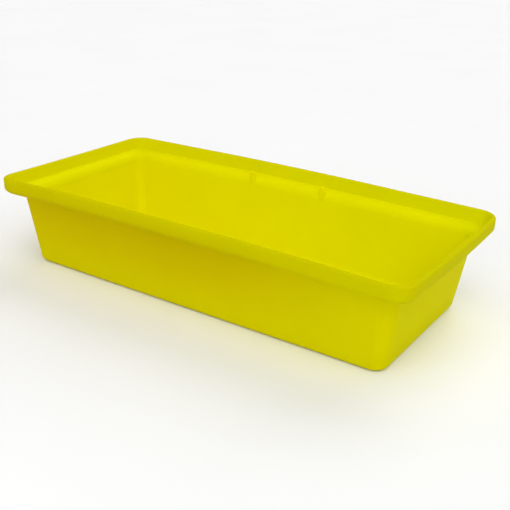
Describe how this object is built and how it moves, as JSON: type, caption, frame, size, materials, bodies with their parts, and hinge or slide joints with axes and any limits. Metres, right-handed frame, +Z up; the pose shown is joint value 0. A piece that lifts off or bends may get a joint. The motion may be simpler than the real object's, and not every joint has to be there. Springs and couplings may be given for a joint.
{
  "type": "deep processing tray",
  "caption": "Deep rectangular plastic tray with tapered walls, rounded corners, and a thick rim whose raised outer edge surrounds a lower ledge with small upright locating lugs.",
  "frame": {"origin": "centre of the underside, on the floor plane", "axes": "+X along the tray's length, +Y along its width, +Z up"},
  "size_m": [0.8, 0.38, 0.167],
  "materials": {
    "yellow_polyethylene": "satin as-moulded polyethylene, coloured right through, with a faint moulding texture"
  },
  "bodies": {
    "root": {"tray": "yellow_polyethylene"}
  },
  "joints": []
}
